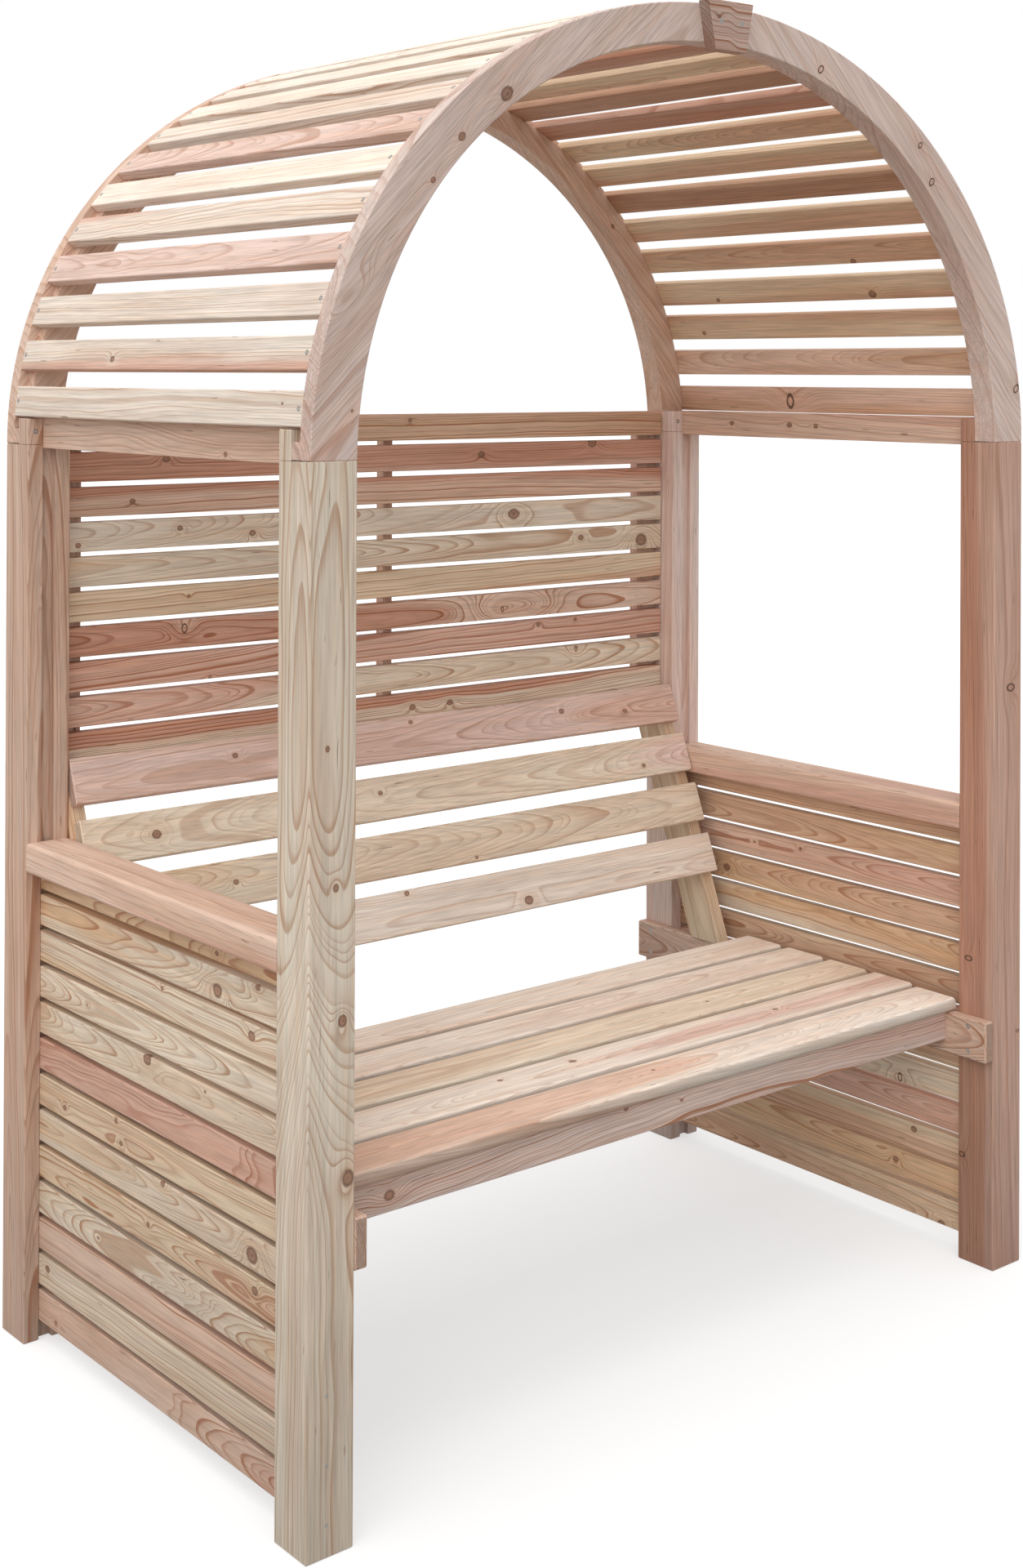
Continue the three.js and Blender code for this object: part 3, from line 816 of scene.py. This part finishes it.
for rear, end in ENDS:
    foot, top = ARCH_INNER_RISE - KEYSTONE_BELOW_ARCH, ARCH_RISE + KEYSTONE_ABOVE_ARCH
    outline = [(-KEYSTONE_HALF_FOOT, foot), (KEYSTONE_HALF_FOOT, foot),
               (KEYSTONE_HALF_TOP, top), (-KEYSTONE_HALF_TOP, top)]
    centre = (0, HALF_DEPTH + KEYSTONE_THICKNESS if rear else -HALF_DEPTH, SHOULDER)
    shape = profile_timber(outline, KEYSTONE_EDGE, (0, KEYSTONE_THICKNESS), centre, X_AXIS, Z_AXIS)
    timber(
        f"{end}_keystone", shape, X_AXIS, -Y_AXIS, "keystone_wood", woods="pink rose",
        cut="rift", light=0.74, lines=1.3, rings=0.0045, seed=30 + rear)

# ---- Roof slats ----

ROOF_WOODS = {
    "pale": dict(woods="white peach", heart="none", light=1.11),
    "cream": dict(woods="white peach", heart="none"),
    "streaked": dict(woods="white rose"),
    "pink": dict(woods="pink rose", heart="some"),
    "peach": dict(woods="peach tan", heart="some", light=1.13),
    "tan": dict(woods="straw tan", light=1.13),
    "red": dict(woods="rose red", heart="much", light=0.95),
    "brown": dict(woods="tan brown", heart="much", light=1.02),
}

# The slats' woods from the left foot over the crown to the right foot, and their cuts in turn
ROOF_STOCK = ("cream streaked cream pink streaked pale pink cream pale pale pale pale pink pale "
              "peach tan red tan brown red tan tan brown tan tan tan tan peach peach").split()
ROOF_CUTS = "rift rift quarter flat rift quarter flat".split()

foot_tilt = (TONGUE_HEIGHT + SLAT_WIDTH) / (ARCH_RISE ** 2 / HALF_WIDTH)
first_slat = TONGUE_HEIGHT + SLAT_GAP + SLAT_THICKNESS * foot_tilt + SLAT_WIDTH / 2
slat_travel = np.linspace(first_slat, 2 * QUARTER_LENGTH - first_slat, ROOF_SLATS)
slat_half_length = HALF_DEPTH - ARCH_THICKNESS + REBATE_WIDTH - CLEARANCE


def roof_place(travel):
    """A point on the roof's outer line and the outward normal there, at a travel from its left
    foot. The normal of x^2 / a^2 + z^2 / b^2 = 1 is (x / a^2, z / b^2)."""
    share = np.array([min(travel, 2 * QUARTER_LENGTH - travel) / QUARTER_LENGTH])
    side = -1 if travel < QUARTER_LENGTH else 1
    x, z = evenly_along(HALF_WIDTH, ARCH_RISE, share)[0]
    normal = unit([side * x / HALF_WIDTH ** 2, 0, z / ARCH_RISE ** 2])
    return np.array([side * x, 0, z + SHOULDER]), normal


for i, travel in enumerate(slat_travel):
    place, normal = roof_place(travel)
    chance = np.random.default_rng(500 + i)
    planed_board(
        f"roof_slat_{i + 1:02d}", "roof_wood", place - normal * SLAT_THICKNESS / 2, Y_AXIS, normal,
        (2 * slat_half_length, SLAT_WIDTH, SLAT_THICKNESS), SLAT_EDGE,
        bow=chance.uniform(-0.0006, 0.0004), sway=chance.uniform(-0.0008, 0.0008),
        lines=chance.uniform(0.45, 0.8), cut=ROOF_CUTS[i % len(ROOF_CUTS)], seed=100 + i,
        **ROOF_WOODS[ROOF_STOCK[i]])

# ---- Side panels ----

PANEL_WOODS = {
    "cream": dict(woods="cream straw", lines=0.85),
    "straw": dict(woods="cream golden", lines=1.05, rings=0.0018),
    "golden": dict(woods="golden tan", lines=1.05),
    "tan": dict(woods="straw tan", lines=1.15),
    "rosy": dict(woods="peach rose", lines=1.05),
    "rose": dict(woods="rose tan", heart="some", lines=1.0, rings=0.0017),
}

# The wood and the cut of each board, the lowest first
PANEL_STOCK = {
    "left": "rosy flat, cream rift, rosy rift, straw flat, tan flat, cream flat near the pith, "
            "tan flat, rose flat, cream flat, straw flat near the pith, cream rift, straw flat, "
            "golden flat",
    "right": "tan flat, straw flat, tan rift, rosy flat, cream flat, tan rift, rosy rift, "
             "tan flat, straw flat, golden flat, rosy flat near the pith, golden flat, "
             "golden rift",
}

# The right panel shows its inner face. Under the seat, where less light falls on it, its battens are
# painted paler: painted light
RIGHT_LINES = 0.75
RIGHT_PAINTED_LIGHT_UNDER_SEAT = 1.44
RIGHT_LIGHT_HIGH = 0.95
BATTENS_UNDER_SEAT = 7

for side, hand in HANDS:
    outward = side * X_AXIS
    panel_seed = 20 * (side > 0)
    for i, board in enumerate(PANEL_STOCK[hand].split(", ")):
        wood, cut = board.split(" ", 1)
        bottom = LOWEST_BATTEN + i * BATTEN_PITCH
        top = min(bottom + BATTEN_WIDTH, ARMREST_UNDERSIDE)
        chance = np.random.default_rng(600 + i + panel_seed)
        figure = dict(PANEL_WOODS[wood])
        if side > 0:
            figure["lines"] *= RIGHT_LINES
            # Painted light: the battens under the seat are made paler than the rest
            figure["light"] = RIGHT_PAINTED_LIGHT_UNDER_SEAT if i < BATTENS_UNDER_SEAT else RIGHT_LIGHT_HIGH
        planed_board(
            f"{hand}_side_batten_{i + 1:02d}", "panel_wood", (side * POST_X, 0, (bottom + top) / 2),
            Y_AXIS, outward, (2 * HOUSED_Y, top - bottom, BATTEN_THICKNESS), SIDE_BATTEN_EDGE,
            bow=chance.uniform(-0.0006, 0.0006), sway=chance.uniform(-0.0006, 0.0006), cut=cut,
            seed=140 + i + panel_seed, nodes=[f"{hand}_side_slats"], **figure)
    planed_board(
        f"{hand}_armrest", "armrest_wood",
        (side * POST_X, 0, ARMREST_UNDERSIDE + ARMREST_THICKNESS / 2), Y_AXIS, Z_AXIS,
        (2 * INNER_Y, POST, ARMREST_THICKNESS), ARMREST_EDGE, woods="peach rose", heart="much",
        light=0.96, lines=0.45, rings=0.004, seed=180 + side)
    planed_board(
        f"{hand}_top_rail", "rail_wood",
        (side * POST_X, 0, RAIL_TOP + RAIL_LIFT - BATTEN_WIDTH / 2), Y_AXIS, outward,
        (2 * HOUSED_Y, BATTEN_WIDTH, BATTEN_THICKNESS), RAIL_EDGE, woods="peach rose",
        cut="rift", heart="some", lines=0.8, seed=184 + side)

# ---- Back panel ----

BACK_STOCK = [
    dict(woods="tan rose", cut="rift", lines=1.1),
    dict(woods="rose red", cut="rift", heart="much", light=0.98, lines=1.1),
    dict(woods="peach red", cut="rift", lines=1.2),
    dict(woods="grey pink", heart="some", light=1.08, lines=0.8),
    dict(woods="cream golden", heart="some", lines=0.8),
    dict(woods="straw tan", cut="rift", heart="some", light=1.04),
    dict(woods="peach red", cut="flat near the pith", heart="much", light=0.93, lines=1.2,
         rings=0.0026, swell=((0.26, 0.366, 1.02), 0.11, 0.024, 0.034)),
    dict(woods="rose red", cut="rift", heart="some", lines=1.3),
    dict(woods="cream rose", lines=0.9),
    dict(woods="cream red", cut="rift", lines=1.3),
]
arch_inner_x = INNER_X * math.sqrt(1 - (TONGUE_HEIGHT / ARCH_INNER_RISE) ** 2)
back_length = 2 * (arch_inner_x - CLEARANCE)
back_foot = RAIL_TOP - (BACK_BATTENS - 1) * BATTEN_PITCH - BATTEN_WIDTH

for i, figure in enumerate(BACK_STOCK):
    chance = np.random.default_rng(700 + i)
    centre = (0, HALF_DEPTH - 1.5 * BATTEN_THICKNESS,
              RAIL_TOP - i * BATTEN_PITCH - BATTEN_WIDTH / 2)
    planed_board(
        f"back_batten_{i + 1:02d}", "panel_wood", centre, X_AXIS, -Y_AXIS,
        (back_length, BATTEN_WIDTH, BATTEN_THICKNESS), BACK_BATTEN_EDGE,
        sway=chance.uniform(-0.0007, 0.0007), seed=190 + i, nodes=["back_panel"], **figure)

UPRIGHT_BATTENS = (("left", BATTEN_WIDTH / 2 - INNER_X, BATTEN_WIDTH),
                   ("middle", 0, BATTEN_THICKNESS),
                   ("right", INNER_X - BATTEN_WIDTH / 2, BATTEN_WIDTH))
for i, (where, x, width) in enumerate(UPRIGHT_BATTENS):
    planed_board(
        f"back_upright_batten_{where}", "panel_wood",
        (x, HALF_DEPTH - BATTEN_THICKNESS / 2, (back_foot + SHOULDER) / 2), Z_AXIS, -Y_AXIS,
        (SHOULDER - back_foot, width, BATTEN_THICKNESS), UPRIGHT_EDGE, woods="peach rose",
        cut="rift", light=1.05, lines=0.5, seed=205 + i, nodes=["back_panel"])

# ---- Seat ----

SEAT_STOCK = [
    dict(woods="white peach", heart="much"),
    dict(woods="white pink"),
    dict(woods="cream straw", heart="some"),
    dict(woods="white pink"),
    dict(woods="white pink", heart="some"),
]
for i, figure in enumerate(SEAT_STOCK):
    y = SEAT_SETBACK - HALF_DEPTH + i * SEAT_PITCH + SEAT_WIDTH / 2
    end = INNER_X - SEAT_POST_GAP if i == 0 else POST_X - BATTEN_THICKNESS / 2 - SEAT_PANEL_GAP
    # The seat boards' upright sides get painted shade (edges=1.0)
    planed_board(
        f"seat_board_{i + 1}", "seat_wood", (0, y, SEAT_HEIGHT - SEAT_THICKNESS / 2), X_AXIS,
        Z_AXIS, (2 * end, SEAT_WIDTH, SEAT_THICKNESS), SEAT_EDGE, SEAT_EASE, light=1.20,
        lines=0.42, edges=1.0, seed=210 + i, **figure)

for side, hand in HANDS:
    planed_board(
        f"{hand}_seat_bearer", "rail_wood",
        (side * (INNER_X - BATTEN_THICKNESS / 2), 0, BEARER_TOP - BEARER_WIDTH / 2), Y_AXIS,
        -side * X_AXIS, (2 * HALF_DEPTH, BEARER_WIDTH, BATTEN_THICKNESS), BEARER_EDGE, BEARER_EASE,
        woods="peach rose", light=0.95, seed=220 + side)

planed_board(
    "seat_apron", "rail_wood", (0, APRON_SETBACK - HALF_DEPTH, BEARER_TOP - BATTEN_WIDTH / 2),
    X_AXIS, -Y_AXIS, (2 * (INNER_X - BATTEN_THICKNESS), BATTEN_WIDTH, BATTEN_THICKNESS), APRON_EDGE,
    woods="mauve pink", cut="rift", heart="none", light=1.03, lines=1.5, wander=1.9,
    rings=0.0023, seed=224)

# ---- Backrest ----

BACKREST_STOCK = [
    dict(woods="white pink", heart="some", lines=0.5),
    dict(woods="cream straw", lines=0.6),
    dict(woods="cream pink", light=1.02, lines=0.5),
    dict(woods="pink rose", light=0.98, lines=0.6),
]
lean_up = np.array([0, math.sin(BACKREST_LEAN), math.cos(BACKREST_LEAN)])
lean_out = np.array([0, -math.cos(BACKREST_LEAN), math.sin(BACKREST_LEAN)])
backrest_foot = np.array([0, HALF_DEPTH - BACKREST_SETBACK, SEAT_HEIGHT + BACKREST_RISE])
for i, figure in enumerate(BACKREST_STOCK):
    centre = (backrest_foot + lean_up * (i * BACKREST_PITCH + BACKREST_WIDTH / 2)
              - lean_out * BACKREST_THICKNESS / 2)
    size = (2 * (INNER_X - BACKREST_END_GAP), BACKREST_WIDTH, BACKREST_THICKNESS)
    planed_board(
        f"backrest_board_{i + 1}", "backrest_wood", centre, X_AXIS, lean_out, size, BACKREST_EDGE,
        BACKREST_EASE, seed=230 + i, **figure)


def leaning_outline():
    """The upright's side in Y and Z: the leaning timber cut level at its foot and under the back
    panel, and plumb where it meets the posts' rear faces. A leaning line is y = y0 + (z - z0) tan.
    """
    slope = math.tan(BACKREST_LEAN)
    front = backrest_foot[1] + (BACKREST_THICKNESS + CLEARANCE) / math.cos(BACKREST_LEAN)
    rear = front + LEANING_WIDTH / math.cos(BACKREST_LEAN)
    top = back_foot - CLEARANCE
    drop = BEARER_TOP - backrest_foot[2]
    meet = backrest_foot[2] + (HALF_DEPTH - rear) / slope
    return [(front + drop * slope, BEARER_TOP), (rear + drop * slope, BEARER_TOP),
            (HALF_DEPTH, meet), (HALF_DEPTH, top),
            (front + (top - backrest_foot[2]) * slope, top)]


for side, hand in HANDS:
    inner = min(side * INNER_X, side * (INNER_X - LEANING_THICKNESS))
    shape = profile_timber(leaning_outline(), LEANING_EDGE, (0, LEANING_THICKNESS), (inner, 0, 0),
                           Y_AXIS, Z_AXIS)
    timber(
        f"{hand}_backrest_upright", shape, lean_up, lean_out, "backrest_wood",
        woods="straw tan", cut="quarter", heart="none", seed=240 + side)

# ---- Screw heads ----

SCREW_RADIUS = 0.0042
ROOF_SCREW_RADIUS = 0.0036
NAIL_RADIUS = 0.0024

# A head's rings from the rim inwards: shares of its radius, heights, and shares of the recess
HEAD_RINGS = np.array([(1.0, -0.0012, 0), (1.0, 0.0, 0), (0.93, 0.00022, 0), (0.7, 0.00034, 0),
                       (0.5, 0.00038, 0.55), (0.3, 0.0004, 0.9), (0.12, 0.0004, 1.0)])
RECESS_DEPTH = 0.0011


def screw_head(place, outward, radius, turn):
    """A flat head with a cross recess: a height over a polar grid, a low dome rounded over at the
    edge, less a recess on the four spokes of the cross and over the whole middle ring."""
    outward = unit(outward)
    helper = Z_AXIS if abs(outward[2]) < 0.9 else X_AXIS
    u_axis = unit(np.cross(helper, outward))
    v_axis = np.cross(outward, u_axis)
    share, base, recess = (column[:, None] for column in HEAD_RINGS.T)
    angle = np.linspace(0, 2 * math.pi, 16, endpoint=False)
    on_cross = (np.abs(np.cos(2 * angle)) > 0.9) | (recess > 0.95)
    height = base - RECESS_DEPTH * recess * on_cross
    x = radius * share * np.cos(angle + turn)
    y = radius * share * np.sin(angle + turn)
    rings = (np.asarray(place) + x[..., None] * u_axis + y[..., None] * v_axis
             + height[..., None] * outward)
    return skinned(rings)


def screw_heads(name, places, radius=SCREW_RADIUS):
    """Several screw heads as one piece. Each place is a point on the timber and its face."""
    points, faces, start = [], [], 0
    for number, (place, outward) in enumerate(places):
        head_points, head_faces = screw_head(place, outward, radius, turn=0.7 * number)
        points.append(head_points)
        faces += [[index + start for index in face] for face in head_faces]
        start += len(head_points)
    piece = add_mesh(name, np.concatenate(points), faces)
    piece.data.materials.append(screw_steel)
    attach(piece, "root")


# Where the screws and nails sit on the slats, the bearers, the keystones and the post
ROOF_SCREW_Y = 0.3745
BEARER_SCREW_DROPS = (0.013, 0.052)
KEYSTONE_SCREW_X = 0.020
NAIL_X = -0.664
NAIL_HEIGHTS = (0.040, 0.111, 0.196)
tongue_offset = (GROOVE_WIDTH / 2 + POST / 2) / 2

for end, name in ((-1, "front_roof_screws"), (1, "rear_roof_screws")):
    screw_heads(name, [(place + end * ROOF_SCREW_Y * Y_AXIS, normal)
                       for place, normal in map(roof_place, slat_travel)], ROOF_SCREW_RADIUS)
screw_heads("tongue_screws", [
    ((side * (POST_X + offset), end * INNER_Y, SHOULDER + TONGUE_HEIGHT / 2), -end * Y_AXIS)
    for side in (-1, 1) for end in (-1, 1) for offset in (-tongue_offset, tongue_offset)])
screw_heads("bearer_screws", [
    ((side * (INNER_X - BATTEN_THICKNESS), end * POST_Y, BEARER_TOP - drop), -side * X_AXIS)
    for side in (-1, 1) for end in (-1, 1) for drop in BEARER_SCREW_DROPS])
screw_heads("keystone_screws", [
    ((x, end * (HALF_DEPTH + KEYSTONE_THICKNESS), SHOULDER + ARCH_RISE - ARCH_CROWN_DEPTH / 2),
     end * Y_AXIS)
    for end in (-1, 1) for x in (-KEYSTONE_SCREW_X, KEYSTONE_SCREW_X)])
screw_heads("front_left_post_nails",
            [((NAIL_X, -HALF_DEPTH, z), -Y_AXIS) for z in NAIL_HEIGHTS], NAIL_RADIUS)

# ---- Camera, floor and light ----

camera = bpy.data.cameras.new("camera")
camera.lens = 48.171
camera.sensor_width = 36.0
camera.sensor_fit = "AUTO"
camera.shift_y = -0.2685
camera.clip_end = 100
viewpoint = bpy.data.objects.new("camera", camera)
bpy.context.scene.collection.objects.link(viewpoint)
yaw, pitch, roll = map(math.radians, (-39.498, 0.285, -0.227))
level = Matrix.Rotation(math.radians(90), 3, "X")
aim = (Matrix.Rotation(yaw, 3, "Z") @ Matrix.Rotation(pitch, 3, "X")
       @ Matrix.Rotation(roll, 3, "Y"))
viewpoint.matrix_world = (Matrix.Translation((-2.113134, -2.507398, 1.433578))
                          @ (aim @ level).to_4x4())
bpy.context.scene.camera = viewpoint

WHITE = colour(1, 1, 1)
FLOOR_HALF = 60


def seen_white(tree, plain, white):
    """The plain shader for the light that falls on the object, and the white one for the camera,
    gloss and clear materials."""
    camera_ray = tree.add("ShaderNodeLightPath", output="Is Camera Ray")
    gloss, clear = map(camera_ray.beside, ("Is Glossy Ray", "Is Transmission Ray"))
    seen = camera_ray.most(gloss.most(clear))
    return tree.add("ShaderNodeMixShader", seen, plain, white)


def floor_finish():
    """A pale matt floor. The camera sees it a little lighter than it lights the object, with the
    object's shadow still on it."""
    material = bpy.data.materials.new("pale_floor")
    tree = Tree(material)
    tree.nodes.remove(tree.found("BSDF_PRINCIPLED"))
    plain = tree.add("ShaderNodeBsdfDiffuse", colour(0.30, 0.285, 0.265))
    pale = tree.add("ShaderNodeBsdfDiffuse", colour(0.45, 0.45, 0.45))
    glow = tree.add("ShaderNodeEmission", WHITE, 0.58)
    white = tree.add("ShaderNodeAddShader", pale, glow)
    surface = tree.found("OUTPUT_MATERIAL").inputs["Surface"]
    tree.feed(surface, seen_white(tree, plain, white))
    return material


floor_mesh = bpy.data.meshes.new("floor")
corners = [(x * FLOOR_HALF, y * FLOOR_HALF, 0) for x, y in ((-1, -1), (1, -1), (1, 1), (-1, 1))]
floor_mesh.from_pydata(corners, [], [(0, 1, 2, 3)])
floor = bpy.data.objects.new("floor", floor_mesh)
bpy.context.scene.collection.objects.link(floor)
floor.data.materials.append(floor_finish())

world = bpy.data.worlds.new("studio")
bpy.context.scene.world = world
world_tree = Tree(world)
world_tree.nodes.clear()
ambient = world_tree.add("ShaderNodeBackground", colour(0.98, 0.985, 1.0), 0.62)
bright = world_tree.add("ShaderNodeBackground", WHITE, 1.0)
world_tree.add("ShaderNodeOutputWorld", seen_white(world_tree, ambient, bright))


def wide_lamp(name, towards, spread, strength, tint):
    """A far, wide lamp: it lights the whole floor alike, and its shadows are soft."""
    lamp = bpy.data.lights.new(name, "SUN")
    lamp.angle = math.radians(spread)
    lamp.energy = strength
    lamp.color = tint
    lamp_object = bpy.data.objects.new(name, lamp)
    lamp_object.rotation_euler = Vector(towards).to_track_quat("-Z", "Y").to_euler()
    bpy.context.scene.collection.objects.link(lamp_object)


wide_lamp("overhead_lamp", (0.10, 0.0, -1.0), 50, 1.2, (1.0, 0.98, 0.95))
wide_lamp("left_lamp", (0.75, 0.35, -0.72), 55, 0.92, (1.0, 0.97, 0.93))
wide_lamp("low_front_lamp", (0.60, 0.76, -0.14), 80, 0.95, (0.98, 0.985, 1.0))

bpy.context.scene.view_settings.view_transform = "Standard"
